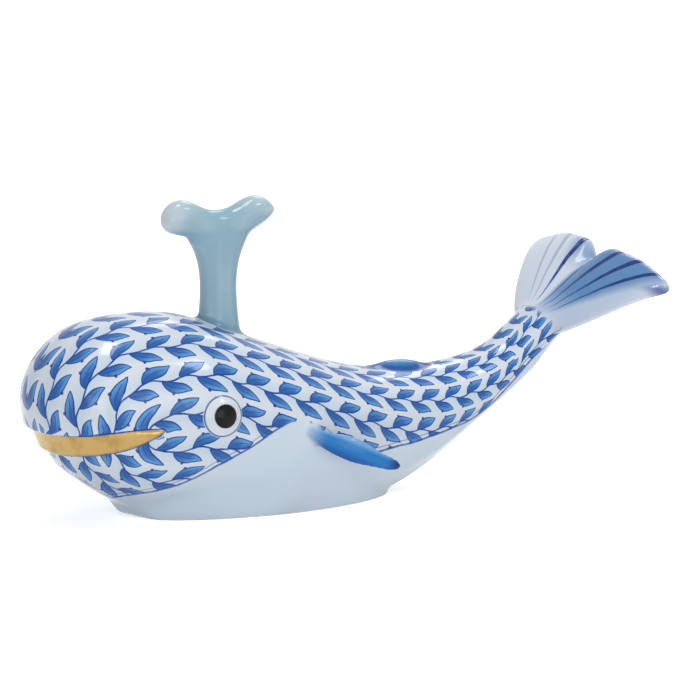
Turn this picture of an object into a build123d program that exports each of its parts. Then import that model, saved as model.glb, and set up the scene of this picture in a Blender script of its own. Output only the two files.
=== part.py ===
from build123d import *
import os
from math import copysign, cos, pi, radians, sin

# Porcelain whale figurine: a hollow slip-cast body with a spout, flukes, flippers and a back
# ridge cast apart and luted on, a gilded lip, and raised eyes with enamel pupils.
# Millimetres. The origin is the centre of the flat foot on the table. The head points along -X,
# the whale's left side faces -Y, and +Z is up.

# Body, from the nose to the joint face on the tail stem
BODY_LENGTH = 89.8
NOSE_REACH = 40.3
CROWN_HEIGHT = 33.3
BODY_WIDTH = 34.4
STEM_TILT = 45
WALL = 2.8

# Foot and kiln vent
FOOT_LENGTH = 49.0
FOOT_WIDTH = 23.6
FOOT_HEIGHT = 6.0
FOOT_FLARE = 1.4
FLOOR = 6.2
VENT_DIAMETER = 4.0
VENT_SETBACK = 9.0

# Luting slip between the body and each casting
SLIP = 0.3
SLIP_SPILL = 0.5

# Water spout, a forked spray in the body's middle plane
SPOUT_TOP = 51.4
SPOUT_PLACE = 6.1
SPOUT_SINK = 4.0
SPOUT_SPREAD = 20.2
SPOUT_DIP = 2.0
STEM_WIDTH = 6.6
STEM_THICKNESS = 5.4
LOBE_HEIGHT = 6.0
LOBE_THICKNESS = 5.6

# Tail flukes
FLUKE_SPAN = 42.0
FLUKE_LENGTH = 24.0
FLUKE_DROOP = 3.3
FLUKE_THICKNESS = 4.6
FLUKE_ROLL = 4
FLUKE_YAW = 1.5
NECK_LENGTH = 11.0
NECK_WIDTH = 16.0
NECK_THICKNESS = 4.0

# Flippers
FLIPPER_PLACE = -0.4
FLIPPER_LEVEL = 15.0
FLIPPER_LENGTH = 17.6
FLIPPER_DROP = 7.0
FLIPPER_SPREAD = 4.4
FLIPPER_WIDTH = 3.8
FLIPPER_THICKNESS = 2.4
FLIPPER_SINK = 2.6

# Back ridge
RIDGE_PLACE = 26.8
RIDGE_LENGTH = 12.4
RIDGE_WIDTH = 5.0
RIDGE_HEIGHT = 5.0
RIDGE_PROUD = 1.3

# Lower jaw, set back under the upper one, and the gilded lip on its edge
JAW_SETBACK = 2.4
LIP_RAISE = 0.7
LIP_CORNER = 23.2
LIP_CORNER_LEVEL = 16.8
LIP_FRONT_LEVEL = 12.8
LIP_HEIGHT = 4.5

# Eyes and pupils
EYE_PLACE = 13.3
EYE_LEVEL = 18.6
EYE_DIAMETER = 6.0
EYE_RISE = 1.2
PUPIL_DIAMETER = 3.9
PUPIL_RISE = 0.15

# Ovals: steps down each half, the power that makes an ellipse or a fuller blade, and the slope
# of the faint crease where the halves meet
HALF_STEPS = 8
ROUND_SHARE = 1.0
BLADE_SHARE = 0.85
CREASE_SHARE = 0.03

# Body sections: place along the length; level of the widest line, reach up and reach down as
# shares of the crown height; lean as a share of the stem's tilt; half width of the full width
NOSE_LEVEL_SHARE = 0.60
BROW_PLACE_SHARE = 0.225
JAW_END_SHARE = 0.225
BODY_SHARES = [
    (0.008, 0.60, 0.00, 0.100, 0.115, 0.130),
    (0.030, 0.60, 0.00, 0.205, 0.280, 0.245),
    (0.070, 0.59, 0.00, 0.320, 0.375, 0.360),
    (0.135, 0.57, 0.00, 0.412, 0.462, 0.445),
    (0.225, 0.545, 0.00, 0.455, 0.515, 0.490),
    (0.345, 0.51, 0.00, 0.430, 0.520, 0.500),
    (0.470, 0.46, 0.06, 0.360, 0.490, 0.465),
    (0.605, 0.41, 0.18, 0.290, 0.445, 0.390),
    (0.725, 0.395, 0.36, 0.245, 0.340, 0.300),
    (0.840, 0.44, 0.60, 0.205, 0.210, 0.220),
    (0.935, 0.545, 0.84, 0.145, 0.150, 0.168),
    (1.000, 0.655, 1.00, 0.130, 0.135, 0.142),
]
# The hollow stops where the stem gets thin
HOLLOW_STEPS = 10

# Spout stem: place from its sunk foot to the spout's top, share of stem width and thickness
SPOUT_STEM_SHARES = [
    (0.00, 1.30, 1.30),
    (0.18, 1.08, 1.08),
    (0.36, 0.96, 0.98),
    (0.52, 1.00, 1.00),
    (0.64, 1.24, 1.02),
    (0.75, 1.70, 1.02),
    (0.84, 2.20, 0.90),
]
# Spout head: place out to the lobe's end, share of the dip, of lobe height and of thickness
SPOUT_HEAD_SHARES = [
    (0.00, 1.00, 1.00, 1.00),
    (0.33, 0.60, 1.02, 1.02),
    (0.64, 0.00, 1.00, 1.00),
    (0.85, 0.00, 0.80, 0.82),
    (0.96, 0.10, 0.46, 0.46),
]
LOBE_END_DIP_SHARE = 0.15

# Fluke sections: place out to the tip; leading and trailing edge along the length; both edges'
# height as shares of the droop; thickness
FLUKE_SHARES = [
    (0.00, 0.060, 0.880, 0.05, -0.35, 1.00),
    (0.12, 0.100, 0.958, 0.05, -0.05, 0.95),
    (0.30, 0.195, 0.988, 0.05, 0.10, 0.78),
    (0.48, 0.315, 0.990, 0.05, 0.02, 0.65),
    (0.68, 0.490, 0.980, 0.00, -0.30, 0.56),
    (0.84, 0.665, 0.955, -0.12, -0.62, 0.50),
    (0.94, 0.785, 0.930, -0.38, -0.78, 0.38),
    (0.985, 0.850, 0.902, -0.62, -0.80, 0.22),
]
# The tip's place along the length and its height as a share of the droop
FLUKE_TIP_SHARES = (0.88, -0.72)

# Flipper sections: place along the length, then shares of spread, drop, width and thickness
FLIPPER_SHARES = [
    (0.00, 0.00, 0.00, 1.20, 1.20),
    (0.20, 0.38, 0.16, 1.05, 1.05),
    (0.45, 0.68, 0.42, 1.00, 0.95),
    (0.70, 0.88, 0.70, 0.84, 0.80),
    (0.88, 0.97, 0.89, 0.58, 0.58),
    (0.97, 1.00, 0.97, 0.32, 0.32),
]

# Lip edges in side view: place from the corner to the nose, height above the sloping middle
LIP_UPPER_SHARES = [(0.00, 0.00), (0.35, 0.28), (0.70, 0.42), (1.00, 0.50)]
LIP_LOWER_SHARES = [(0.00, 0.00), (0.35, -0.40), (0.70, -0.46), (1.00, -0.50)]


def half_outline(half, up, down, full_share, side):
    """Curve from the top of an oval down one side to its bottom, nearly level at both ends."""
    points = [(0, up)]
    for step in range(1, HALF_STEPS):
        turn = pi / 2 - pi * step / HALF_STEPS
        upright = copysign(abs(sin(turn)) ** full_share, sin(turn))
        points.append((side * half * cos(turn) ** full_share, upright * (up if turn > 0 else down)))
    points.append((0, -down))
    return Spline(*points, tangents=[(side, -CREASE_SHARE), (-side, -CREASE_SHARE)])


def section(plane, half, up, down, full_share=ROUND_SHARE):
    """Oval face about a plane's origin, in two halves, with its own reach up and down."""
    return plane * make_face([half_outline(half, up, down, full_share, side) for side in (1, -1)])


def biggest(shape):
    """The largest solid of a shape."""
    return shape.solids().sort_by(SortBy.VOLUME)[-1]


def spine_plane(along, level, lean, lead=0.0):
    """Plane square to the body's spine, its X axis across the body and its Y axis up the back."""
    tilt = radians(lean * STEM_TILT)
    place = (along * BODY_LENGTH - NOSE_REACH - lead, 0, level * CROWN_HEIGHT)
    return Plane(place, x_dir=(0, 1, 0), z_dir=(cos(tilt), 0, sin(tilt)))


def body_section(row, grow, setback):
    """One body section, grown outwards and, near the nose, forwards or set back."""
    along, level, lean, up, down, half = row
    lead = grow * max(0, 1 - along / BROW_PLACE_SHARE) - setback * max(0, 1 - along / JAW_END_SHARE)
    plane = spine_plane(along, level, lean, lead)
    tall = CROWN_HEIGHT
    return section(plane, half * BODY_WIDTH + grow, up * tall + grow, down * tall + grow)


def body_form(grow=0.0, setback=0.0):
    """The body's outer form as a solid, grown by a layer's thickness, its front set back."""
    nose = Vertex(setback - NOSE_REACH - grow, 0, NOSE_LEVEL_SHARE * CROWN_HEIGHT)
    return loft([nose] + [body_section(row, grow, setback) for row in BODY_SHARES])


def hollow_form():
    """The inside of the shell, a wall's thickness in from the outside and the lower jaw."""
    nose = Vertex(JAW_SETBACK + WALL - NOSE_REACH, 0, NOSE_LEVEL_SHARE * CROWN_HEIGHT)
    sections = [body_section(row, -WALL, JAW_SETBACK) for row in BODY_SHARES[:HOLLOW_STEPS]]
    along, level = BODY_SHARES[HOLLOW_STEPS][:2]
    end = Vertex(along * BODY_LENGTH - NOSE_REACH, 0, level * CROWN_HEIGHT)
    inside = loft([nose] + sections + [end])
    return split(inside, bisect_by=Plane.XY.offset(FLOOR), keep=Keep.TOP)


def foot_form():
    """Foot that flares from its flat face up into the belly."""
    face = Ellipse(FOOT_LENGTH / 2, FOOT_WIDTH / 2)
    root = Ellipse(FOOT_LENGTH / 2 + FOOT_FLARE, FOOT_WIDTH / 2 + FOOT_FLARE)
    return loft([face, Pos(0, 0, FOOT_HEIGHT) * root])


def lip_edges():
    """Points of the lip's upper and lower edge in side view, from the corner past the nose."""
    corner = Vector(-LIP_CORNER, LIP_CORNER_LEVEL)
    run = Vector(LIP_CORNER - NOSE_REACH - LIP_RAISE, LIP_FRONT_LEVEL - LIP_CORNER_LEVEL)
    return [
        [corner + run * along + Vector(0, height * LIP_HEIGHT) for along, height in rows]
        for rows in (LIP_UPPER_SHARES, LIP_LOWER_SHARES)
    ]


def side_cut(*edges):
    """A side view outline as a solid right across the body."""
    return extrude(Plane.XZ * make_face(edges), BODY_WIDTH, both=True)


def jaw_cut(jaw):
    """What the upper jaw overhangs: all that is below the mouth and ahead of the lower jaw."""
    upper = lip_edges()[0]
    front, back = Vector(upper[-1].X, -FLOOR), Vector(upper[0].X, -FLOOR)
    below = side_cut(Spline(*upper), Line(upper[-1], front), Line(front, back), Line(back, upper[0]))
    return below - jaw


def body_shell(body, jaw):
    """Hollow body on its flat foot, with the kiln vent through the floor."""
    above = split(body - jaw_cut(jaw), bisect_by=Plane.XY, keep=Keep.TOP)
    foot = foot_form()
    vent = Pos(VENT_SETBACK, 0, 0) * Cylinder(VENT_DIAMETER / 2, 2 * (FOOT_HEIGHT + FLOOR))
    return biggest(above - hollow_form() + foot - vent)


def skin_point(body, place, level):
    """Point and outward normal on the body's right side."""
    hits = body.find_intersection_points(Axis((place, 0, level), (0, 1, 0)))
    return max(hits, key=lambda hit: hit[0].Y)


def skin_top(body, place):
    """Height of the back's middle line."""
    hits = body.find_intersection_points(Axis((place, 0, 0), (0, 0, 1)))
    return max(hit[0].Z for hit in hits)


def spout_stem(body, grow=0.0):
    """Stem of the spout, from inside the body up into the spout's head."""
    foot = skin_top(body, -SPOUT_PLACE) - SPOUT_SINK
    slices = []
    for along, wide, thick in SPOUT_STEM_SHARES:
        level = foot + along * (SPOUT_TOP - foot)
        plane = Plane((-SPOUT_PLACE, 0, level))
        slices.append(section(plane, wide * STEM_WIDTH / 2 + grow, *[thick * STEM_THICKNESS / 2 + grow] * 2))
    return loft(slices)


def spout_head():
    """Forked head: one bar from lobe to lobe with a dip in the middle."""
    middle = SPOUT_TOP - LOBE_HEIGHT / 2
    reach = SPOUT_SPREAD / 2
    end = middle - LOBE_END_DIP_SHARE * SPOUT_DIP
    places = [(-row[0], *row[1:]) for row in SPOUT_HEAD_SHARES[:0:-1]] + SPOUT_HEAD_SHARES
    slices = [Vertex(-SPOUT_PLACE - reach, 0, end)]
    for out, dip, tall, thick in places:
        place = (out * reach - SPOUT_PLACE, 0, middle - dip * SPOUT_DIP)
        plane = Plane(place, x_dir=(0, 1, 0), z_dir=(1, 0, 0))
        slices.append(section(plane, thick * LOBE_THICKNESS / 2, *[tall * LOBE_HEIGHT / 2] * 2))
    slices.append(Vertex(reach - SPOUT_PLACE, 0, end))
    return loft(slices)


def joint_plane():
    """Plane of the joint face at the end of the tail stem."""
    return spine_plane(*BODY_SHARES[-1][:3])


def joint_section(plane):
    """Outline of the stem's end face."""
    up, down, half = BODY_SHARES[-1][3:]
    return section(plane, half * BODY_WIDTH, up * CROWN_HEIGHT, down * CROWN_HEIGHT)


def fluke_slice(frame, row, side):
    """Section across one lobe of the flukes."""
    out, lead, trail, lead_rise, trail_rise, thick = row
    front = Vector(side * out * FLUKE_SPAN / 2, lead_rise * FLUKE_DROOP, lead * FLUKE_LENGTH)
    back = Vector(side * out * FLUKE_SPAN / 2, trail_rise * FLUKE_DROOP, trail * FLUKE_LENGTH)
    plane = frame * Plane((front + back) / 2, x_dir=back - front, z_dir=(1, 0, 0))
    half_thick = thick * FLUKE_THICKNESS / 2
    return section(plane, (back - front).length / 2, half_thick, half_thick, BLADE_SHARE)


def fluke_tip(frame, side):
    """End point of one lobe."""
    along, rise = FLUKE_TIP_SHARES
    tip = Vector(side * FLUKE_SPAN / 2, rise * FLUKE_DROOP, along * FLUKE_LENGTH)
    return Vertex(*frame.from_local_coords(tip))


def tail_flukes():
    """Flukes with the short neck that meets the stem's end face."""
    seat = joint_plane().offset(SLIP)
    roll, yaw = radians(FLUKE_ROLL), radians(FLUKE_YAW)
    across = seat.x_dir * cos(roll) + seat.y_dir * sin(roll)
    outward = seat.z_dir * cos(yaw) - across * sin(yaw)
    frame = Plane(seat.origin, x_dir=across * cos(yaw) + seat.z_dir * sin(yaw), z_dir=outward)
    slices = [fluke_tip(frame, -1)]
    slices += [fluke_slice(frame, row, -1) for row in FLUKE_SHARES[:0:-1]]
    slices += [fluke_slice(frame, row, 1) for row in FLUKE_SHARES]
    slices += [fluke_tip(frame, 1)]
    neck_end = section(frame.offset(NECK_LENGTH), NECK_WIDTH / 2, *[NECK_THICKNESS / 2] * 2)
    neck = loft([joint_section(seat), neck_end])
    return biggest(split(loft(slices) + neck, bisect_by=seat, keep=Keep.TOP))


def flukes_slip():
    """Thin disc of slip between the stem's end face and the flukes."""
    return extrude(joint_section(joint_plane()), SLIP)


def flipper_form(body, grow=0.0):
    """Right flipper: a leaf sprung from inside the body, swept back, down and out."""
    root = skin_point(body, FLIPPER_PLACE, FLIPPER_LEVEL)[0] - Vector(0, FLIPPER_SINK, 0)
    reach = Vector(FLIPPER_LENGTH, FLIPPER_SPREAD + FLIPPER_SINK, -FLIPPER_DROP)
    slices = []
    for along, out, drop, wide, thick in FLIPPER_SHARES:
        place = root + Vector(along * reach.X, out * reach.Y, drop * reach.Z)
        plane = Plane(place, x_dir=(0, 1, 0), z_dir=(reach.X, 0, reach.Z))
        half_wide = wide * FLIPPER_WIDTH / 2 + grow
        slices.append(section(plane, thick * FLIPPER_THICKNESS / 2 + grow, half_wide, half_wide))
    return loft(slices + [Vertex(*(root + reach))])


def ridge_form(body, grow=0.0):
    """Low ridge on the back, an ellipsoid sunk so that only its crest stands proud."""
    level = skin_top(body, RIDGE_PLACE) + RIDGE_PROUD - RIDGE_HEIGHT / 2
    sizes = (RIDGE_LENGTH / 2 + grow, RIDGE_WIDTH / 2 + grow, RIDGE_HEIGHT / 2 + grow)
    ball = Rot(90, 0, 0) * Sphere(1)
    return Pos(RIDGE_PLACE, 0, level) * scale(ball, by=sizes)


def lip_band(jaw):
    """Raised crescent along the lower jaw's edge, drawn in side view and wrapped on the skin."""
    upper, lower = lip_edges()
    crescent = side_cut(Spline(*upper), Line(upper[-1], lower[-1]), Spline(*lower))
    return biggest(crescent & (body_form(LIP_RAISE, JAW_SETBACK) - jaw))


def eye_ball(body, grow=0.0):
    """Ball whose cap stands out of the right side as the eye, and the line it looks along."""
    radius = (EYE_DIAMETER ** 2 / 4 + EYE_RISE ** 2) / (2 * EYE_RISE)
    point, normal = skin_point(body, -EYE_PLACE, EYE_LEVEL)
    look = Plane(point - normal * (radius - EYE_RISE), z_dir=normal)
    return look * Sphere(radius + grow), look


def eye(body):
    """Raised white of the right eye."""
    return biggest(eye_ball(body)[0] - body)


def pupil(body):
    """Thin dome of enamel on the right eye."""
    ball, look = eye_ball(body)
    column = look * extrude(Circle(PUPIL_DIAMETER / 2), EYE_DIAMETER)
    return biggest((eye_ball(body, PUPIL_RISE)[0] & column) - ball)


def build():
    """All pieces by name."""
    body = body_form()
    jaw = body_form(setback=JAW_SETBACK)
    slip_skin = body_form(SLIP)

    def slip_pad(form):
        return biggest((form & slip_skin) - body)

    pieces = {
        "body_shell": body_shell(body, jaw),
        "water_spout": biggest(spout_stem(body) + spout_head() - slip_skin),
        "spout_slip": slip_pad(spout_stem(body, SLIP_SPILL)),
        "tail_flukes": tail_flukes(),
        "flukes_slip": flukes_slip(),
        "back_ridge": biggest(ridge_form(body) - slip_skin),
        "ridge_slip": slip_pad(ridge_form(body, SLIP_SPILL)),
        "lip_band": lip_band(jaw),
    }
    right_side = {
        "flipper": biggest(flipper_form(body) - slip_skin),
        "flipper_slip": slip_pad(flipper_form(body, SLIP_SPILL)),
        "eye": eye(body),
        "pupil": pupil(body),
    }
    for name, piece in right_side.items():
        pieces[name + "_right"] = piece
        pieces[name + "_left"] = mirror(piece, about=Plane.XZ)
    return pieces


os.makedirs("parts", exist_ok=True)
for node, shape in build().items():
    export_step(shape, "parts/" + node + ".step")
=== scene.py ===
import math

import bmesh
import bpy
import numpy as np
from mathutils import Matrix, Vector
from mathutils.bvhtree import BVHTree


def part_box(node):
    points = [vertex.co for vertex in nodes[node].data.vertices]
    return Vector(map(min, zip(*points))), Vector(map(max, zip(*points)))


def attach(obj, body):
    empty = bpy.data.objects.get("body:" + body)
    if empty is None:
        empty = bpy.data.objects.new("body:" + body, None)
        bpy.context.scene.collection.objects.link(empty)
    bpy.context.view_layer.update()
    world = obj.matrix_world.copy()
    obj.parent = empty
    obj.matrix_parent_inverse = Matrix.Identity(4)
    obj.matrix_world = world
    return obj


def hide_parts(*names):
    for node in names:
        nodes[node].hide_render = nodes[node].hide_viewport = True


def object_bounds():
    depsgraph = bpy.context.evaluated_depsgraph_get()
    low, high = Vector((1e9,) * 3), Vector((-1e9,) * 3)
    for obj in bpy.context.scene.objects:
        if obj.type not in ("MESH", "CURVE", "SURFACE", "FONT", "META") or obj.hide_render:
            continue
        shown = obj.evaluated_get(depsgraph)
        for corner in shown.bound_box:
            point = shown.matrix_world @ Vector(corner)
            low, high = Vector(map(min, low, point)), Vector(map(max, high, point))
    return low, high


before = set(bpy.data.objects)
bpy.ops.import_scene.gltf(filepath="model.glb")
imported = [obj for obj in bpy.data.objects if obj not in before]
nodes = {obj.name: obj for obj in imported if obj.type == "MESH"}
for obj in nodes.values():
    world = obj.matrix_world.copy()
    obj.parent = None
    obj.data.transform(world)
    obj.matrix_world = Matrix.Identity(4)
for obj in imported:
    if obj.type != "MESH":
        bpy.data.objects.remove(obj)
cad_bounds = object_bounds()
scene = bpy.context.scene

# The scene is in metres; lengths below are in millimetres and scaled where a mesh is made.
MM = 0.001

# Each visual piece: the record's slot for its finish, and the CAD nodes it stands for.
PIECES = {
    "body": ("painted_porcelain", ["body_shell"]),
    "spout": ("grey_blue_glaze", ["water_spout", "spout_slip"]),
    "flukes": ("washed_porcelain", ["tail_flukes", "flukes_slip"]),
    "ridge": ("blue_wash", ["back_ridge", "ridge_slip"]),
    "lip": ("burnished_gold", ["lip_band"]),
    "flipper_l": ("blue_wash", ["flipper_left", "flipper_slip_left"]),
    "flipper_r": ("blue_wash", ["flipper_right", "flipper_slip_right"]),
    "eyeball_l": ("white_porcelain", ["eye_left"]),
    "eyeball_r": ("white_porcelain", ["eye_right"]),
}
PUPILS = {"pupil_dome_l": "pupil_left", "pupil_dome_r": "pupil_right"}

# Skin: its grid, and how many smoothing rounds do the work of one round on the fine grid
FINE_VOXEL = 0.34
VOXEL = FINE_VOXEL
ROUNDS = (FINE_VOXEL / VOXEL) ** 2
PUPIL_VOXEL = 0.06

# Forms: half-width of the softened band along a joint, height of the flared foot, how far a
# flipper's root part may stand off the flank, how far a piece's rim turns in, how much the spout's
# rear lobe is raised underneath, and how near a CAD piece a point lies on it
JOINT_REACH = 1.3
FOOT_TOP = 5.6
FLIPPER_PROUD = 4.0
RIM_DEPTH = 0.4
LOBE_RISE = 1.3
ON_PIECE = 0.6

# Distances are measured this far, and farther for the body and the spout
NEAR_REACH, FAR_REACH = 25.0, 60.0

# Lean of the flukes' stem, and the flukes' roll and turn on it
TILT, ROLL, YAW = math.radians(45), math.radians(4), math.radians(1.5)


def coords(mesh):
    """Vertices of a mesh in millimetres."""
    flat = np.empty(len(mesh.vertices) * 3)
    mesh.vertices.foreach_get("co", flat)
    return flat.reshape(-1, 3) / MM


def tree_of(names):
    """Search tree over the surfaces of some CAD nodes, in millimetres."""
    points, faces = [], []
    for name in names:
        mesh = nodes[name].data
        mesh.calc_loop_triangles()
        corners = np.empty(len(mesh.loop_triangles) * 3, np.int64)
        mesh.loop_triangles.foreach_get("vertices", corners)
        faces += (corners.reshape(-1, 3) + len(points)).tolist()
        points += coords(mesh).tolist()
    return BVHTree.FromPolygons(points, faces)


def box_mm(*names):
    """Corners of the box round some CAD nodes, in millimetres."""
    boxes = [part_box(name) for name in names]
    low = np.min([np.array(box[0]) for box in boxes], axis=0) / MM
    high = np.max([np.array(box[1]) for box in boxes], axis=0) / MM
    return low, high


def box_centre(*names):
    low, high = box_mm(*names)
    return (low + high) / 2


# Skin: one watertight surface over all pieces, so that the glaze runs softly over every joint.


def vent_plug():
    """Centre and radius of the kiln vent, measured on the foot's underside."""
    points = coords(nodes["body_shell"].data)
    flat = points[points[:, 2] < 0.01]
    rim = flat[np.hypot(flat[:, 0], flat[:, 1]) < 0.24 * np.ptp(flat[:, 0])]
    centre = (rim.min(axis=0) + rim.max(axis=0)) / 2
    return centre, np.ptp(rim[:, 1]) / 2


def remeshed(source, voxel):
    """Voxel surface of a bmesh, which is used up."""
    mesh = bpy.data.meshes.new("remesh_source")
    source.to_mesh(mesh)
    source.free()
    holder = bpy.data.objects.new("remesh_source", mesh)
    scene.collection.objects.link(holder)
    voxels = holder.modifiers.new("voxels", "REMESH")
    voxels.mode = "VOXEL"
    voxels.voxel_size = voxel * MM
    graph = bpy.context.evaluated_depsgraph_get()
    surface = bpy.data.meshes.new_from_object(holder.evaluated_get(graph))
    bpy.data.objects.remove(holder)
    return surface


def mesh_edges(mesh):
    """Pairs of vertices that share an edge, and how many edges meet at each vertex."""
    pairs = np.empty(len(mesh.edges) * 2, np.int64)
    mesh.edges.foreach_get("vertices", pairs)
    counts = np.maximum(1, np.bincount(pairs, minlength=len(mesh.vertices)))
    return pairs.reshape(-1, 2), counts


def skin_mesh():
    """Voxel union of all pieces but the pupils, the vent closed a little way in."""
    joined = bmesh.new()
    for name in nodes:
        if name not in PUPILS.values():
            joined.from_mesh(nodes[name].data)
    centre, radius = vent_plug()
    place = Matrix.Translation(Vector((centre[0], centre[1], 1.9 * radius)) * MM)
    wide = 1.4 * radius * MM
    bmesh.ops.create_cone(joined, cap_ends=True, segments=48, radius1=wide, radius2=wide,
                          depth=1.2 * radius * MM, matrix=place)
    return remeshed(joined, VOXEL)


def neighbour_mean(points, edges, degree):
    """Mean of each point's neighbours."""
    a, b = edges[:, 0], edges[:, 1]
    total = np.empty_like(points)
    for axis in range(points.shape[1]):
        total[:, axis] = np.bincount(a, points[b, axis], len(points)) + np.bincount(
            b, points[a, axis], len(points))
    return total / degree[:, None]


def even_out(points, edges, degree, rounds, weight):
    """Smooths away steps without shrinking the form."""
    for _ in range(rounds):
        for pull in (0.5, -0.52):
            points = points + pull * weight[:, None] * (neighbour_mean(points, edges, degree) - points)
    return points


def soften(points, edges, degree, rounds, weight):
    """Rounds edges and fills corners, where the weight asks for it."""
    for _ in range(rounds):
        points = points + 0.5 * weight[:, None] * (neighbour_mean(points, edges, degree) - points)
    return points


def vertex_normals(points):
    """Outward normals of the skin with its vertices at these points."""
    skin.vertices.foreach_set("co", (points * MM).ravel())
    skin.update()
    flat = np.empty(len(points) * 3)
    skin.vertex_normals.foreach_get("vector", flat)
    return flat.reshape(-1, 3)


def fill_hollows(points, edges, degree, rounds, weight):
    """Fills inner corners, as running glaze does, and leaves outer edges as they are."""
    for step in range(rounds):
        if step % 10 == 0:
            normals = vertex_normals(points)
        pull = np.einsum("ij,ij->i", neighbour_mean(points, edges, degree) - points, normals)
        points = points + (0.5 * weight * np.maximum(pull, 0))[:, None] * normals
    return points


def ramp(values, low, high):
    """0 below the first limit, 1 above the second, softly between."""
    share = np.clip((values - low) / (high - low), 0, 1)
    return share * share * (3 - 2 * share)


def distances(points, names, reach):
    """Distance from each point to some nodes, or the reach where it is farther."""
    low, high = box_mm(*names)
    near = np.all((points > low - reach) & (points < high + reach), axis=1)
    tree = tree_of(names)
    result = np.full(len(points), float(reach))
    for index in np.flatnonzero(near):
        hit = tree.find_nearest(points[index], reach)
        if hit[3] is not None:
            result[index] = hit[3]
    return result


skin = skin_mesh()
edges, degree = mesh_edges(skin)
points = coords(skin)
sole = points[:, 2] < VOXEL
everywhere = np.ones(len(points))
points = even_out(points, edges, degree, 14, everywhere)

gap = {piece: distances(points, stands_for, FAR_REACH if piece in ("body", "spout") else NEAR_REACH)
       for piece, (_, stands_for) in PIECES.items()}
to_blade = np.minimum(gap["flipper_l"], gap["flipper_r"])
joint = distances(points, [name for name in nodes if "slip" in name], 6.0)
body_tree = tree_of(["body_shell"])
lip_high = box_mm("lip_band")[1]

# Axes of the flipper in side view, and of the flukes
flipper_low, flipper_high = box_mm("flipper_left")
root = np.array([flipper_low[0], flipper_high[2] - 2.0])
tip = np.array([flipper_high[0], flipper_low[2]])
blade_length = np.linalg.norm(tip - root)
blade_run = (tip - root) / blade_length
stem_end = box_centre("flukes_slip")
stem_ahead = np.array([math.cos(TILT), 0, math.sin(TILT)])
stem_up = np.array([-math.sin(TILT), 0, math.cos(TILT)])
rolled = np.array([0, math.cos(ROLL), 0]) + stem_up * math.sin(ROLL)
ahead = stem_ahead * math.cos(YAW) - rolled * math.sin(YAW)
across = rolled * math.cos(YAW) + stem_ahead * math.sin(YAW)
upward = np.cross(ahead, across)


def along_blade(points):
    """Place on a flipper from its root to its tip."""
    run = (points[:, 0] - root[0]) * blade_run[0] + (points[:, 2] - root[1]) * blade_run[1]
    return run / blade_length


def across_blade(points):
    """Height over the line from a flipper's root to its tip."""
    return (points[:, 2] - root[1]) * blade_run[0] - (points[:, 0] - root[0]) * blade_run[1]


# The flippers' roots sink into the flank and come out of it as a narrow wedge
over_blade = across_blade(points)
set_back = 0.10 * ramp(over_blade, 0.2, 2.2) + 0.12 * ramp(-over_blade, 0.2, 2.0)
emerged = ramp(along_blade(points) - set_back, 0.0, 0.36) * FLIPPER_PROUD
for index in np.flatnonzero((to_blade < ON_PIECE) & (emerged < FLIPPER_PROUD)):
    flank, _, _, proud = body_tree.find_nearest(points[index])
    keep = min(1.0, emerged[index] / max(proud, 1e-6))
    points[index] = np.array(flank) + (points[index] - np.array(flank)) * keep
wedge = np.exp(-(to_blade / 1.4) ** 2) * (1 - ramp(along_blade(points), 0.12, 0.42))
points = soften(points, edges, degree, int(45 * ROUNDS), wedge)

# The spout's rear lobe is drawn up to a slimmer end
spout_low, spout_high = box_mm("water_spout")
rear = (points[:, 0] - box_centre("water_spout")[0]) / (spout_high[0] - spout_low[0]) * 2
under_lobe = 1 - ramp(points[:, 2], spout_high[2] - 4.5, spout_high[2] - 1.0)
points[:, 2] += LOBE_RISE * ramp(rear, 0.35, 1.0) * under_lobe * (gap["spout"] < ON_PIECE)

# Glaze runs over the joints and round the eyes
seams = np.minimum.reduce([joint, gap["eyeball_l"] + 0.5, gap["eyeball_r"] + 0.5])
points = soften(points, edges, degree, int(10 * ROUNDS), np.exp(-(seams / JOINT_REACH) ** 2))

# The belly runs down into the foot, the lower jaw back into the cheek, the flukes into their neck,
# the spout's lobes into its stem and the flippers into their shoulders, without an edge
apart = np.minimum.reduce([to_blade, gap["lip"], gap["eyeball_l"], gap["eyeball_r"]])
clear = np.clip((apart - 1.0) / 2.0, 0, 1)
offset = points - stem_end
skirt = np.exp(-((points[:, 2] - FOOT_TOP) / 2.8) ** 2) * clear
neck = ramp(offset @ ahead, -6.0, -1.0) * (1 - ramp(offset @ ahead, 14.0, 20.0))
fork = (gap["spout"] < ON_PIECE) * ramp(points[:, 2], spout_low[2] + 3.0, spout_low[2] + 6.0)
shoulder = np.exp(-(to_blade / 1.2) ** 2) * (1 - ramp(along_blade(points), 0.25, 0.45))
points = fill_hollows(points, edges, degree, int(120 * ROUNDS),
                      np.maximum.reduce([skirt, neck, fork * 0.6, shoulder * 0.6]))
cheek = np.exp(-((points[:, 0] - lip_high[0]) / 1.6) ** 2) * (points[:, 2] < FOOT_TOP + 12)
points = soften(points, edges, degree, int(130 * ROUNDS), cheek * clear)
points = soften(points, edges, degree, int(28 * ROUNDS), neck * 0.5)
points = soften(points, edges, degree, 3, everywhere * 0.6)
points[sole & (points[:, 2] < 0.12), 2] = 0.0

# Measures on the skin that the painting follows, one number for each vertex.
side = np.abs(points[:, 1])


def smooth_curve(knots, at, blur):
    """Given knots joined into a soft curve."""
    spots, values = np.array(knots, float).T
    fine = np.linspace(spots[0] - 3 * blur, spots[-1] + 3 * blur, 600)
    line = np.interp(fine, spots, values)
    step = fine[1] - fine[0]
    width = max(1, int(3 * blur / step))
    kernel = np.exp(-0.5 * (np.arange(-width, width + 1) * step / blur) ** 2)
    padded = np.pad(line, width, mode="edge")
    return np.interp(at, fine, np.convolve(padded, kernel / kernel.sum(), mode="valid"))


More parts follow.
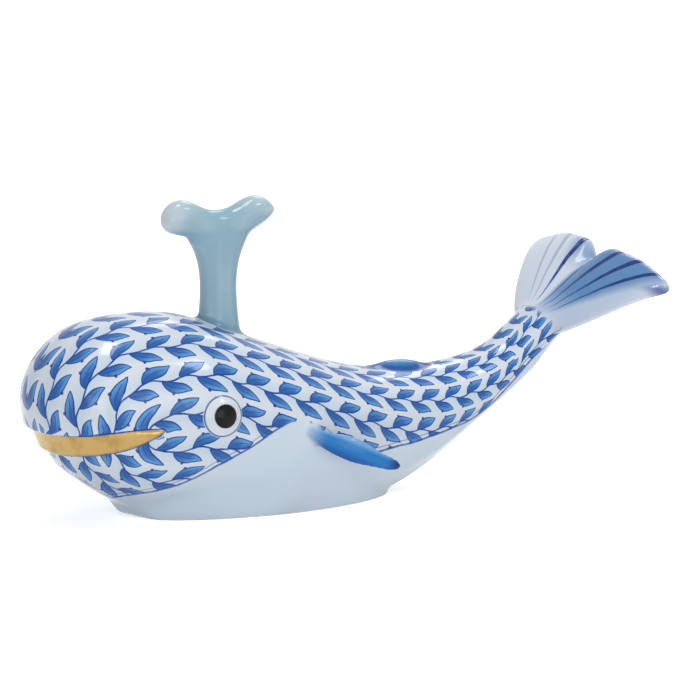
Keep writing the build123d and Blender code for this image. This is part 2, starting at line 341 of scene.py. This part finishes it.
def on_grid(table, first, second, at_first, at_second):
    """Values between the knots of a table."""
    i = np.clip((at_first - first[0]) / (first[1] - first[0]), 0, len(first) - 1.001)
    j = np.clip((at_second - second[0]) / (second[1] - second[0]), 0, len(second) - 1.001)
    i0, j0 = i.astype(int), j.astype(int)
    fi, fj = i - i0, j - j0
    return ((1 - fi) * ((1 - fj) * table[i0, j0] + fj * table[i0, j0 + 1])
            + fi * ((1 - fj) * table[i0 + 1, j0] + fj * table[i0 + 1, j0 + 1]))


# Mouth corner that the rows turn about, rows above the mouth, and a place beside the vent from
# which the underside can be felt
CORNER_X = lip_high[0] + 0.6
CORNER_Z = lip_high[2] - 0.9
ROWS_ABOVE = 5
BESIDE_VENT = 3.0
OUTSIDE = 90
STATION = 1.5


def outer_reach(centre, direction):
    """Distance from a point inside the body to its outer skin along a direction."""
    start = Vector(centre) + Vector(direction) * OUTSIDE
    hit = body_tree.ray_cast(start, -Vector(direction))
    return (hit[0] - Vector(centre)).length if hit[0] is not None else 0.0


# Rows along the body, from the mouth corner to the tail
along = np.arange(CORNER_X, 53, STATION)
angles = np.radians(np.arange(0, 181, 3))
tops, bottoms = [], []
for x in along:
    top = body_tree.ray_cast(Vector((x, 0, OUTSIDE)), Vector((0, 0, -1)))[0]
    bottom = body_tree.ray_cast(Vector((x, BESIDE_VENT, -OUTSIDE)), Vector((0, 0, 1)))[0]
    tops.append(top.z if top is not None else tops[-1] + STATION)
    bottoms.append(bottom.z if bottom is not None else bottoms[-1] + STATION)
middle = (np.array(tops) + np.array(bottoms)) / 2
arc = np.zeros((len(along), len(angles)))
for i, x in enumerate(along):
    reach = [outer_reach((x, 0, middle[i]), (0, -math.sin(a), math.cos(a))) for a in angles]
    loop = np.array([(r * math.sin(a), r * math.cos(a)) for r, a in zip(reach, angles)])
    arc[i, 1:] = np.cumsum(np.hypot(*np.diff(loop, axis=0).T))

# Rows over the head, turning about the mouth corner
turns = np.radians(np.arange(0, 181, 4))
lifts = np.radians(np.arange(0, 91, 2))
fan = np.zeros((len(turns), len(lifts)))
for i, turn in enumerate(turns):
    loop = []
    for lift in lifts:
        level = math.cos(lift)
        direction = (-level * math.sin(turn), -math.sin(lift), level * math.cos(turn))
        loop.append(np.array(direction) * outer_reach((CORNER_X, 0, CORNER_Z), direction))
    steps = np.linalg.norm(np.diff(np.array(loop), axis=0), axis=1)
    fan[i, :-1] = np.cumsum(steps[::-1])[::-1]
row_width = fan[0, 0] / (ROWS_ABOVE - 0.5)

narrow = smooth_curve([(-60, 1.0), (-5, 1.0), (20, 0.90), (50, 0.66), (80, 0.64)], along, 5)
slant = np.sqrt(1 + np.gradient(middle, along) ** 2)
phases = np.concatenate([[0], np.cumsum(slant[:-1] * np.diff(along) / (row_width * narrow[:-1]))])

# Past the stem's end the rows go straight on along it
x, z = points[:, 0], points[:, 2]
STEM_X = stem_end[0] - 2.5
past = np.maximum(0, x - STEM_X)
row_x, row_z = x - past, z - past * math.tan(TILT)
behind = x >= CORNER_X
angle = np.arctan2(side, row_z - np.interp(row_x, along, middle))
row_behind = on_grid(arc, along, angles, row_x, angle) / (row_width * np.interp(row_x, along, narrow))
row_behind = 0.5 + row_behind
turn = np.where(behind, 0.0, np.arctan2(CORNER_X - x, z - CORNER_Z))
lift = np.arctan2(side, np.hypot(x - CORNER_X, z - CORNER_Z))
from_corner = on_grid(fan, turns, lifts, turn, lift)
across_head = np.interp(turn, turns, fan[:, 0])
LIP_TURN = math.radians(101)
above_lip = turn < LIP_TURN
row_ahead = np.where(above_lip, ROWS_ABOVE - (ROWS_ABOVE - 0.5) * from_corner / across_head,
                     ROWS_ABOVE + from_corner / row_width)
stem_step = math.cos(TILT) * row_width * np.interp(STEM_X, along, narrow)
marks = {
    "row": np.where(behind, row_behind, row_ahead),
    "phase": np.interp(row_x, along, phases) + past / stem_step,
    "turn": np.where(behind, 0.0, np.where(above_lip, turn, math.pi - turn)),
}

# Edge of the painted back above the plain belly: height of the line at places along the body
BELLY_LINE = [(-50, 0.5), (-32, 2.0), (-25.4, 5.0), (-18.6, 7.2), (-14, 10.0), (-8, 12.8), (-3, 15.6),
              (1, 16.6), (5, 14.6), (9, 11.2), (15.6, 8.9), (28, 9.9), (37.8, 11.6), (41.6, 13.2),
              (48.7, 19.4), (60, 30)]
BELLY_BLUR = 1.2
belly_height = smooth_curve(BELLY_LINE, x, BELLY_BLUR)
belly_slope = (smooth_curve(BELLY_LINE, x + 0.5, BELLY_BLUR)
               - smooth_curve(BELLY_LINE, x - 0.5, BELLY_BLUR))
marks["belly"] = (z - belly_height) / np.sqrt(1 + belly_slope ** 2)

# Signed distance from the edge of each piece, how far the flippers stand off the flank, and the
# distance from the eyes
for piece in ("spout", "ridge", "lip"):
    marks["to_" + piece] = gap[piece] - np.minimum(gap["body"], 8)
marks["proud"] = np.zeros(len(points))
for index in np.flatnonzero(to_blade < 2.0):
    marks["proud"][index] = body_tree.find_nearest(points[index])[3]
eye = box_centre("eye_left")
marks["to_eye"] = np.sqrt((x - eye[0]) ** 2 + (side - abs(eye[1])) ** 2 + (z - eye[2]) ** 2)

# Flipper: place from root to tip, and height across the blade
marks["blade_along"] = along_blade(points)
marks["blade_across"] = across_blade(points)

# Flukes: place along the stem's direction and across it; ridge: place from front to back
offset = points - stem_end
marks["fluke_along"] = offset @ ahead
marks["fluke_across"] = offset @ across
ridge_low, ridge_high = box_mm("back_ridge")
marks["ridge_along"] = (x - ridge_low[0]) / (ridge_high[0] - ridge_low[0])

# Where the form is hollow or edged: painted shade goes in hollows and painted highlights on edges
normals = vertex_normals(points)
calm = soften(points, edges, degree, int(30 * FINE_VOXEL / VOXEL), everywhere)
marks["hollow"] = np.einsum("ij,ij->i", calm - points, normals)
marks["facing"] = np.einsum("ij,j->i", normals, upward)

# Pieces: each face of the skin goes to the nearest CAD piece, the sunk flipper roots to the body
corner_count = np.empty(len(skin.polygons), np.int64)
skin.polygons.foreach_get("loop_total", corner_count)
corners = np.empty(len(skin.loops), np.int64)
skin.loops.foreach_get("vertex_index", corners)
faces = np.split(corners, np.cumsum(corner_count)[:-1])
names = list(PIECES)
closeness = np.stack([gap[name] - (0.0 if name == "body" else 0.05) for name in names])
sunk = (marks["proud"] < 0.5) & (marks["blade_along"] < 0.40)
for name in ("flipper_l", "flipper_r"):
    closeness[names.index(name), sunk] += 10.0
owner_of_vertex = np.argmin(closeness, axis=0)
first = np.array([face[0] for face in faces])
third = np.array([face[2] for face in faces])
owner = np.where(owner_of_vertex[first] == owner_of_vertex[third], owner_of_vertex[first],
                 np.argmin(closeness[:, first] + closeness[:, third], axis=0))
face_of_corner = np.repeat(np.arange(len(faces)), corner_count)


def even_borders(owner, rounds):
    """Evens the pieces' borders: a face joins the piece that most faces round its corners are on."""
    meeting = np.maximum(1, np.bincount(corners, minlength=len(points)))
    for _ in range(rounds):
        votes = []
        for index in range(len(names)):
            on_piece = (owner == index).astype(float)
            at_vertex = np.bincount(corners, on_piece[face_of_corner], len(points)) / meeting
            votes.append(np.bincount(face_of_corner, at_vertex[corners], len(faces)))
        owner = np.argmax(votes, axis=0)
    return owner


def join_strays(owner):
    """Leaves each piece in one patch: stray faces go to the piece around them."""
    edge_of_corner = np.empty(len(corners), np.int64)
    skin.loops.foreach_get("edge_index", edge_of_corner)
    order = np.argsort(edge_of_corner, kind="stable")
    sorted_edges, sorted_faces = edge_of_corner[order], face_of_corner[order]
    same = np.flatnonzero(sorted_edges[1:] == sorted_edges[:-1])
    beside = [[] for _ in faces]
    for a, b in zip(sorted_faces[same].tolist(), sorted_faces[same + 1].tolist()):
        beside[a].append(b)
        beside[b].append(a)
    owner = owner.tolist()
    seen = [False] * len(faces)
    patches = {}
    for seed in range(len(faces)):
        if seen[seed]:
            continue
        seen[seed] = True
        patch = [seed]
        for face in patch:
            for other in beside[face]:
                if not seen[other] and owner[other] == owner[seed]:
                    seen[other] = True
                    patch.append(other)
        patches.setdefault(owner[seed], []).append(patch)
    for index, found in patches.items():
        for patch in sorted(found, key=len)[:-1]:
            around = [owner[other] for face in patch for other in beside[face]]
            around = [other for other in around if other != index] or [index]
            for face in patch:
                owner[face] = around[0]
    return np.array(owner)


owner = join_strays(even_borders(owner, 4))


def add_object(name, mesh, material):
    """A smooth-shaded object in the scene."""
    for polygon in mesh.polygons:
        polygon.use_smooth = True
    mesh.materials.append(material)
    made = bpy.data.objects.new(name, mesh)
    scene.collection.objects.link(made)
    return made


def cut_piece(name, index, material):
    """The skin over one piece, closed on the inside, with its painting marks."""
    own = [faces[i] for i in np.flatnonzero(owner == index)]
    used, renumbered = np.unique(np.concatenate(own), return_inverse=True)
    sizes = np.cumsum([len(face) for face in own])[:-1]
    mesh = bpy.data.meshes.new(name)
    own = [face.tolist() for face in np.split(renumbered, sizes)]
    mesh.from_pydata((points[used] * MM).tolist(), [], own)
    shell = bmesh.new()
    shell.from_mesh(mesh)
    rims = [edge for edge in shell.edges if edge.is_boundary]
    turned_in = bmesh.ops.extrude_edge_only(shell, edges=rims)["geom"]
    shell.verts.index_update()
    outer_of = {}
    for vertex in (item for item in turned_in if isinstance(item, bmesh.types.BMVert)):
        outer = min(edge.other_vert(vertex).index for edge in vertex.link_edges)
        outer_of[vertex.index] = outer
        vertex.co -= Vector(normals[used[outer]]) * (RIM_DEPTH * MM)
    doubled = [outer_of[i] for i in range(len(used), len(shell.verts))]
    used = np.concatenate([used, used[doubled]])
    rims = [edge for edge in shell.edges if edge.is_boundary]
    caps = bmesh.ops.holes_fill(shell, edges=rims, sides=0)["faces"]
    bmesh.ops.triangulate(shell, faces=[cap for cap in caps if len(cap.verts) > 4])
    shell.to_mesh(mesh)
    shell.free()
    for mark, values in marks.items():
        layer = mesh.attributes.new(mark, "FLOAT", "POINT")
        layer.data.foreach_set("value", values[used].astype(np.float32))
    made = add_object(name, mesh, material)
    mesh.normals_split_custom_set_from_vertices(normals[used].tolist())
    return made


# Shader arithmetic written as sums


def linear(red, green, blue):
    """Colour of the screen's 0 to 255 scale as the light it stands for."""
    def one(value):
        value = value / 255
        return value / 12.92 if value <= 0.04045 else ((value + 0.055) / 1.055) ** 2.4
    return (one(red), one(green), one(blue), 1.0)


class Value:
    """A number in a shader."""

    def __init__(self, tree, socket):
        self.tree, self.socket = tree, socket

    def using(self, operation, *others):
        node = self.tree.nodes.new("ShaderNodeMath")
        node.operation = operation
        for slot, item in zip(node.inputs, (self, *others)):
            feed(self.tree, slot, item)
        return Value(self.tree, node.outputs[0])

    def __add__(self, other):
        return self.using("ADD", other)

    def __sub__(self, other):
        return self.using("SUBTRACT", other)

    def __mul__(self, other):
        return self.using("MULTIPLY", other)

    def __truediv__(self, other):
        return self.using("DIVIDE", other)

    def __neg__(self):
        return self.using("MULTIPLY", -1.0)

    def __pow__(self, other):
        return self.using("POWER", other)

    def __abs__(self):
        return self.using("ABSOLUTE")

    def floor(self):
        return self.using("FLOOR")

    def part(self):
        return self.using("FRACT")

    def sine(self):
        return self.using("SINE")

    def least(self, other):
        return self.using("MINIMUM", other)

    def most(self, other):
        return self.using("MAXIMUM", other)

    def inverse(self):
        """What is left to 1."""
        return self * -1.0 + 1.0

    def over(self, low, high):
        """0 below the first limit, 1 above the second, softly between."""
        node = self.tree.nodes.new("ShaderNodeMapRange")
        node.interpolation_type = "SMOOTHSTEP"
        feed(self.tree, node.inputs["Value"], self)
        node.inputs["From Min"].default_value = low
        node.inputs["From Max"].default_value = high
        return Value(self.tree, node.outputs["Result"])

    def under(self, low, high):
        """1 below the first limit, 0 above the second, softly between."""
        node = self.over(low, high).socket.node
        node.inputs["To Min"].default_value = 1.0
        node.inputs["To Max"].default_value = 0.0
        return Value(self.tree, node.outputs["Result"])


def feed(tree, slot, item):
    """Links a shader value or colour to a socket, or sets a plain number on it."""
    if isinstance(item, Value):
        tree.links.new(item.socket, slot)
    else:
        slot.default_value = item


def mixed(tree, below, above, amount):
    """One colour over another."""
    node = tree.nodes.new("ShaderNodeMix")
    node.data_type = "RGBA"
    feed(tree, node.inputs[0], amount)
    feed(tree, node.inputs[6], below)
    feed(tree, node.inputs[7], above)
    return Value(tree, node.outputs[2])


def noise(tree, scale, detail, where):
    """Soft random field, about 0.5, on a scale in waves per millimetre."""
    node = tree.nodes.new("ShaderNodeTexNoise")
    node.inputs["Scale"].default_value = scale / MM
    node.inputs["Detail"].default_value = detail
    tree.links.new(where, node.inputs["Vector"])
    return Value(tree, node.outputs["Fac"])


WHITE = linear(208, 214, 222)
BELLY = linear(196, 210, 222)
TINT = linear(178, 200, 220)
LINE = linear(18, 62, 142)
DEEP = linear(0, 84, 160)
PALE = linear(86, 152, 208)
NAVY = linear(16, 30, 100)
SPOUT = linear(140, 172, 187)
# Spout: painted shade for its hollows, also used for its random mottle, and painted highlight for its
# edges
SPOUT_SHADE_AND_MOTTLE = linear(100, 138, 162)
SPOUT_PAINTED_HIGHLIGHT = linear(204, 212, 216)
BLADE = linear(34, 116, 184)
# Painted highlight for the flipper's upper part
BLADE_PAINTED_HIGHLIGHT = linear(150, 190, 224)
# Ridge: painted shade at its foot and painted light on its top
RIDGE_PAINTED_SHADE = linear(12, 80, 152)
RIDGE_PAINTED_LIGHT = linear(96, 146, 192)
FLUKE_PALE = linear(204, 213, 226)
FLUKE_BLUE = linear(26, 108, 168)
RAY_BLUE = linear(36, 104, 172)
RAY_DEEP = linear(8, 44, 112)
RAY_FAINT = linear(142, 158, 182)
GOLD = linear(172, 143, 88)
GOLD_DARK = linear(132, 98, 48)
BISQUE = linear(236, 232, 224)
BISQUE_DARK = linear(205, 198, 186)

# Leaves, in row widths: the head's radius that keeps the rows' steps even there, the shift from
# row to row, the stem's wave, the leaf's turn, length, foot, bend and half-width, and the berries
HEAD_RADIUS = 17.0
ROW_SHIFT = 0.37
STEM_WAVE = 0.045
LEAF_TURN, LEAF_LENGTH = math.radians(27), 0.93
LEAF_FOOT, LEAF_RISE = 0.05, 0.015
LEAF_BEND, LEAF_HALF = -0.10, 0.39
BERRY_PLACE, BERRY_HEIGHT = 0.17, 0.36

# Painted line round the eye
EYE_RING = 3.3

# Rays of the flukes: the point on the neck that they spread from, their step in slope, and the
# first ray's place in steps on each lobe
RAY_ROOT, RAY_STEP = 3.3, 0.26
RAY_LEFT, RAY_RIGHT = 0.38, 0.85

# Flipper's colour: middle of the blade, its half-width and the share of its length that tapers
BLADE_MIDDLE, BLADE_HALF, BLADE_TAPER = 0.25, 2.8, 0.42


def add_bump(tree, shader, height, strength, distance):
    """Unevenness of a surface, its depth in millimetres."""
    bump = tree.nodes.new("ShaderNodeBump")
    bump.inputs["Strength"].default_value = strength
    bump.inputs["Distance"].default_value = distance * MM
    feed(tree, bump.inputs["Height"], height)
    tree.links.new(bump.outputs["Normal"], shader.inputs["Normal"])


class Paint:
    """The shader nodes of one skin, with the brush's unsteadiness."""

    def __init__(self, tree):
        self.tree = tree
        self.where = tree.nodes.new("ShaderNodeTexCoord").outputs["Object"]
        self.waver = self.noise(0.30, 2.0) - 0.5
        self.brush = self.noise(0.9, 3.0)
        self.drift = self.noise(0.06, 2.0)

    def noise(self, scale, detail):
        return noise(self.tree, scale, detail, self.where)

    def mark(self, label):
        """A measure kept on the skin's vertices."""
        node = self.tree.nodes.new("ShaderNodeAttribute")
        node.attribute_name = label
        return Value(self.tree, node.outputs["Fac"])

    def mix(self, below, above, amount):
        return mixed(self.tree, below, above, amount)

    def stroke(self, change, base):
        """Strength of a stroke, uneven as a brush leaves it."""
        return (self.brush * change + base).least(1.0)


def leaf_pattern(paint):
    """Rows of leaves on wavy stems: cover and colour of the leaves, strokes, height off the stem."""
    row = paint.mark("row") + paint.waver * 0.10
    number = row.floor()
    ring = abs(number + (0.5 - ROWS_ABOVE)) * (row_width / HEAD_RADIUS)
    ring = ring.least(1.5).sine() * (HEAD_RADIUS / row_width)
    phase = paint.mark("phase") - paint.mark("turn") * ring + number * ROW_SHIFT + paint.waver * 0.12
    off_stem = row.part() - 0.5 - (phase * 2 * math.pi).sine() * STEM_WAVE
    below_stem = off_stem.under(-0.001, 0.001)
    height = abs(off_stem)

    place = (phase + below_stem * 0.5).part() - LEAF_FOOT
    rise = height - LEAF_RISE
    tip_ward = (place * math.cos(LEAF_TURN) + rise * math.sin(LEAF_TURN)) / LEAF_LENGTH
    held = tip_ward.most(0.0).least(1.0)
    off_rib = rise * math.cos(LEAF_TURN) - place * math.sin(LEAF_TURN)
    off_rib = off_rib + held * held.inverse() * LEAF_BEND
    inside = (held ** 0.6) * (held.inverse() ** 0.75) * LEAF_HALF - abs(off_rib)
    leaf = inside.over(-0.004, 0.010) * tip_ward.over(0.0, 0.02) * tip_ward.under(0.97, 1.0)
    hue = (held + off_rib * 2.2 + (paint.brush - 0.5) * 0.5).over(0.18, 1.05)

    rim = abs(inside - 0.012).under(0.012, 0.030) * leaf.over(0.0, 0.2)
    rib = abs(off_rib).under(0.006, 0.016) * leaf * held.under(0.70, 0.85)
    stem = height.under(0.018, 0.034)
    dot_place = abs((phase + below_stem * 0.5 + BERRY_PLACE).part() - 0.5)
    dot_height = height * -1.0 + BERRY_HEIGHT
    berry = ((dot_place * dot_place + dot_height * dot_height) ** 0.5).under(0.040, 0.058)
    strokes = rim.most(rib * 0.8).most(stem).most(berry) * paint.stroke(0.7, 0.62)
    return leaf, paint.mix(DEEP, PALE, hue), strokes, height


def back_and_belly(paint):
    """The leaf-painted back over a plain belly: its colour, the pattern's cover and the belly's wash."""
    mark, mix = paint.mark, paint.mix
    leaf, leaf_colour, strokes, height = leaf_pattern(paint)
    off_flipper = mark("proud").over(0.15, 0.55).inverse()
    neck_end = mark("fluke_along") + abs(mark("fluke_across")) * 0.12
    painted = mark("belly").over(-0.05, 0.10) * (neck_end + paint.waver * 2.0).under(6.2, 8.2)
    painted = painted * mark("to_spout").over(0.15, 0.30) * mark("to_eye").over(3.45, 3.60)
    painted = painted * mark("to_ridge").over(0.1, 0.3) * off_flipper
    colour = mix(WHITE, BELLY, paint.drift.over(0.35, 0.75) * 0.35)
    colour = mix(colour, TINT, height.under(0.05, 0.42) * painted * 0.55)
    colour = mix(colour, leaf_colour, leaf * painted * 0.96)
    colour = mix(colour, LINE, strokes * painted)

    wash = mix(BELLY, WHITE, (paint.drift - 0.5) * 0.5 + 0.15)
    colour = mix(colour, wash, mark("belly").under(-0.10, 0.10) * mark("fluke_along").under(2.0, 7.0))
    border = abs(mark("belly") + paint.waver * 0.4).under(0.13, 0.24)
    border = border.most(abs(mark("belly") - 0.75 + paint.waver * 0.4).under(0.04, 0.12) * 0.8)
    off_root = abs(mark("blade_along") - 0.10).over(0.16, 0.30)
    off_root = off_root.most(abs(mark("blade_across")).over(3.0, 4.5))
    border = border * mark("fluke_along").under(1.0, 4.0) * off_flipper * off_root
    colour = mix(colour, LINE, border * paint.stroke(0.7, 0.5))
    return colour, painted * leaf.most(strokes), wash


def spout_colour(paint):
    """Grey-blue glaze with painted shade in its hollows, a painted highlight on its edges and tone that
    differs at random.
    """
    hollow = paint.mark("hollow")
    # Painted shade darkens the hollows and a painted highlight pales the edges; the last mix is random
    # mottle
    colour = paint.mix(SPOUT, SPOUT_SHADE_AND_MOTTLE, hollow.over(0.00, 0.16) * 0.9)
    colour = paint.mix(colour, SPOUT_PAINTED_HIGHLIGHT, hollow.under(-0.30, -0.04) * 0.95)
    return paint.mix(colour, SPOUT_SHADE_AND_MOTTLE, (paint.brush - 0.5) * 0.3)


def fluke_colour(paint, reach):
    """Rays that widen towards the trailing edge, strong on the left lobe over a deepening wash,
    faint on the pale right lobe but for one beside the notch."""
    mark, mix = paint.mark, paint.mix
    span = mark("fluke_across") + paint.waver * 0.4
    left = span.under(-1.0, 0.6)
    from_root = (reach - RAY_ROOT).most(0.5)
    slope = abs(span) / from_root
    place = slope / RAY_STEP - left * RAY_LEFT - left.inverse() * RAY_RIGHT
    off_ray = abs(place - (place + 0.5).floor()) * from_root * RAY_STEP
    thick = (reach - 8.0).most(0.0) * 0.040 + 0.04
    ray = (off_ray - thick).under(-0.05, 0.10) * slope.under(1.02, 1.06) * mark("facing").over(0.1, 0.4)
    ray = ray * reach.over(7.0, 10.0) * paint.stroke(0.5, 0.7)
    strong = left.most(slope.under(0.30, 0.36))

    deepen = reach.over(3.0, 14.0) * slope.under(0.85, 1.35)
    deepen = deepen.most(reach.over(2.0, 9.0) * 0.28) * left
    deepen = deepen.most(reach.over(15.0, 23.0) * slope.under(0.20, 0.42) * 0.8)
    deepen = deepen * mark("facing").over(-0.2, 0.5)
    colour = mix(FLUKE_PALE, FLUKE_BLUE, deepen * 0.85)
    # Painted highlight: the rounded edges of the flukes are paler
    colour = mix(colour, WHITE, mark("hollow").under(-0.30, -0.08) * 0.6)
    dark_tip = (slope.over(1.06, 1.20) * reach.over(18.0, 20.5)).least(left)
    colour = mix(colour, LINE, dark_tip * 0.8)
    colour = mix(colour, mix(RAY_BLUE, RAY_DEEP, reach.over(9.0, 19.0)), ray * strong)
    return mix(colour, RAY_FAINT, ray * strong.inverse() * slope.under(0.80, 0.90) * 0.7)


def ridge_colour(paint):
    """Blue with painted shade at the foot of the ridge and a painted highlight on its top, and dark at
    its rear end.
    """
    # Painted shade at the ridge's foot, painted light on its top
    colour = paint.mix(RIDGE_PAINTED_SHADE, RIDGE_PAINTED_LIGHT, paint.mark("to_ridge").under(-1.5, -0.2))
    return paint.mix(colour, NAVY, paint.mark("ridge_along").over(0.84, 1.02) * 0.8)


def flipper_colour(paint, wash):
    """Blue blade that fades into the belly's wash at its root and darkens at its tip, with painted shade
    on its lower part and a painted highlight on its upper part.
    """
    blade, height = paint.mark("blade_along"), paint.mark("blade_across")
    # Painted shade on the blade's lower part, painted highlight on its upper part
    colour = paint.mix(BLADE, DEEP, height.under(-1.3, -0.2) * 0.8)
    colour = paint.mix(colour, BLADE_PAINTED_HIGHLIGHT, height.over(0.5, 1.6) * 0.5)
    colour = paint.mix(colour, LINE, height.under(-1.7, -1.2) * 0.7)
    colour = paint.mix(colour, NAVY, blade.over(0.80, 0.95) * 0.9)
    half = (blade.most(0.0) / BLADE_TAPER).least(1.0) * BLADE_HALF
    spindle = (abs(height - BLADE_MIDDLE) - half).under(-0.5, 0.7)
    return paint.mix(wash, colour, spindle * blade.over(-0.02, 0.30))


def skin_material(name):
    """Painted and glazed porcelain, with gold on the lip."""
    material = bpy.data.materials.new(name)
    material.use_nodes = True
    tree = material.node_tree
    shader = tree.nodes["Principled BSDF"]
    paint = Paint(tree)
    mark, mix = paint.mark, paint.mix

    colour, pattern, wash = back_and_belly(paint)
    to_eye, to_ridge, to_lip = mark("to_eye"), mark("to_ridge"), mark("to_lip")
    colour = mix(colour, LINE, abs(to_eye - EYE_RING).under(0.08, 0.20) * 0.85)
    colour = mix(colour, WHITE, to_eye.under(3.10, 3.22))
    colour = mix(colour, spout_colour(paint), mark("to_spout").under(-0.05, 0.20))
    reach = mark("fluke_along")
    colour = mix(colour, fluke_colour(paint, reach), reach.over(2.5, 8.5) * pattern.inverse())
    colour = mix(colour, LINE, abs(to_ridge - 0.2).under(0.10, 0.30) * 0.8)
    colour = mix(colour, ridge_colour(paint), to_ridge.under(-0.10, 0.15))
    colour = mix(colour, flipper_colour(paint, wash), mark("proud").over(0.20, 0.75))

    # Gold lip inside a thin line
    colour = mix(colour, LINE, to_lip.under(0.20, 0.34) * paint.stroke(0.6, 0.6))
    gold = to_lip.under(-0.12, 0.02)
    gold_colour = mix(GOLD, GOLD_DARK, paint.noise(0.5, 4.0).over(0.45, 0.75) * 0.5)
    colour = mix(colour, gold_colour, gold)

    # Bare biscuit under the foot
    split = tree.nodes.new("ShaderNodeSeparateXYZ")
    tree.links.new(paint.where, split.inputs[0])
    bare = (Value(tree, split.outputs["Z"]) / MM).under(0.10, 0.25)
    bare_colour = mix(BISQUE, BISQUE_DARK, paint.noise(1.2, 4.0).over(0.4, 0.8))
    colour = mix(colour, bare_colour, bare)

    feed(tree, shader.inputs["Base Color"], colour)
    feed(tree, shader.inputs["Metallic"], gold * 0.9)
    rough = (paint.brush - 0.5) * 0.06 + 0.13 + gold * 0.16 + bare * 0.55
    feed(tree, shader.inputs["Roughness"], rough)
    shader.inputs["IOR"].default_value = 1.50
    shader.inputs["Specular IOR Level"].default_value = 0.13
    shader.inputs["Coat Weight"].default_value = 0.10
    shader.inputs["Coat Roughness"].default_value = 0.03
    add_bump(tree, shader, paint.noise(0.10, 1.0) + paint.brush * 0.02, 0.25, 0.25)
    return material


def pupil_material(name):
    """Glossy black enamel with a faint brown cast where it is thin."""
    material = bpy.data.materials.new(name)
    material.use_nodes = True
    tree = material.node_tree
    shader = tree.nodes["Principled BSDF"]
    where = tree.nodes.new("ShaderNodeTexCoord").outputs["Object"]
    cloud = noise(tree, 0.8, 3.0, where)
    black = mixed(tree, linear(6, 5, 6), linear(24, 21, 21), cloud)
    feed(tree, shader.inputs["Base Color"], black)
    feed(tree, shader.inputs["Roughness"], cloud * 0.12 + 0.16)
    shader.inputs["Specular IOR Level"].default_value = 0.15
    add_bump(tree, shader, cloud, 0.2, 0.05)
    return material


finish = {slot: skin_material(slot) for slot, _ in PIECES.values()}
for index, (name, (slot, stands_for)) in enumerate(PIECES.items()):
    piece = cut_piece(name, index, finish[slot])
    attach(piece, "root")
    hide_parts(*stands_for)


def pupil_piece(name, node, material):
    """Dome of enamel with its brush-drawn rim softened."""
    source = bmesh.new()
    source.from_mesh(nodes[node].data)
    dome = remeshed(source, PUPIL_VOXEL)
    links, counts = mesh_edges(dome)
    spots = coords(dome)
    spots = even_out(spots, links, counts, 12, np.ones(len(spots)))
    dome.vertices.foreach_set("co", (spots * MM).ravel())
    dome.update()
    return add_object(name, dome, material)


enamel = pupil_material("black_enamel")
for name, node in PUPILS.items():
    piece = pupil_piece(name, node, enamel)
    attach(piece, "root")
    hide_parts(node)

# Stage: a pale floor, soft lamps and the photograph's angle. The background is white where it is
# seen, and lights the figurine less than that.
AMBIENT, SEEN_STRENGTH = 0.38, 0.67
FLOOR_GLOW = 0.62
CAMERA_PLACE = Vector((-0.2894, -0.6206, 0.1455))
CAMERA_AIM = Vector((0.0170, -0.0022, 0.0246))
LENS, SENSOR = 216, 36
low, high = cad_bounds
size = (high - low).length
focus = (low + high) / 2


def background_rays(tree):
    """1 for rays that see the background: the camera's own, and those mirrored or let through."""
    rays = tree.nodes.new("ShaderNodeLightPath").outputs
    seen = Value(tree, rays["Is Camera Ray"])
    for kind in ("Is Glossy Ray", "Is Transmission Ray"):
        seen = seen.most(Value(tree, rays[kind]))
    return seen


def floor_material():
    """Matt pale floor that keeps the shadow."""
    material = bpy.data.materials.new("floor")
    material.use_nodes = True
    tree = material.node_tree
    shader = tree.nodes["Principled BSDF"]
    where = tree.nodes.new("ShaderNodeTexCoord").outputs["Object"]
    cloud = noise(tree, 0.02, 2.0, where)
    pale = mixed(tree, linear(250, 250, 250), linear(246, 247, 248), cloud)
    feed(tree, shader.inputs["Base Color"], pale)
    shader.inputs["Roughness"].default_value = 0.9
    shader.inputs["Specular IOR Level"].default_value = 0.0
    shader.inputs["Emission Color"].default_value = (1, 1, 1, 1)
    feed(tree, shader.inputs["Emission Strength"], background_rays(tree) * FLOOR_GLOW)
    return material


floor_mesh = bpy.data.meshes.new("floor")
half = 40 * size
floor_corners = [(-half, -half, 0), (half, -half, 0), (half, half, 0), (-half, half, 0)]
floor_mesh.from_pydata(floor_corners, [], [(0, 1, 2, 3)])
floor = add_object("floor", floor_mesh, floor_material())

world = bpy.data.worlds.new("studio")
world.use_nodes = True
scene.world = world
sky = world.node_tree
backdrop = sky.nodes["Background"]
seen = background_rays(sky)
feed(sky, backdrop.inputs["Color"], mixed(sky, (0.80, 0.82, 0.85, 1), (1, 1, 1, 1), seen))
feed(sky, backdrop.inputs["Strength"], seen * SEEN_STRENGTH + AMBIENT)


def lamp(name, place, wide, tall, power):
    """Soft box that faces the figurine; its place is in lengths of the figurine's diagonal."""
    light = bpy.data.lights.new(name, "AREA")
    light.shape = "RECTANGLE"
    light.size, light.size_y = wide * size, tall * size
    light.energy = power * size ** 2
    made = bpy.data.objects.new(name, light)
    made.location = focus + Vector(place) * size
    made.rotation_euler = (focus - made.location).to_track_quat("-Z", "Y").to_euler()
    scene.collection.objects.link(made)


lamp("top", (-0.5, 0.4, 5.0), 1.7, 1.0, 95)
lamp("right", (1.8, -2.0, 4.3), 1.3, 0.9, 60)
lamp("front", (-0.4, -5.2, 1.1), 3.2, 2.6, 62)
lamp("cheek", (-3.0, -2.5, 0.5), 1.6, 1.2, 27)
lamp("back", (3.0, 3.6, 4.2), 2.4, 1.8, 55)

view = bpy.data.cameras.new("camera")
view.lens, view.sensor_width = LENS, SENSOR
view.clip_start, view.clip_end = 0.01, 50
camera = bpy.data.objects.new("camera", view)
camera.location = CAMERA_PLACE
camera.rotation_euler = (CAMERA_AIM - CAMERA_PLACE).to_track_quat("-Z", "Y").to_euler()
scene.collection.objects.link(camera)
scene.camera = camera
scene.view_settings.view_transform = "Standard"
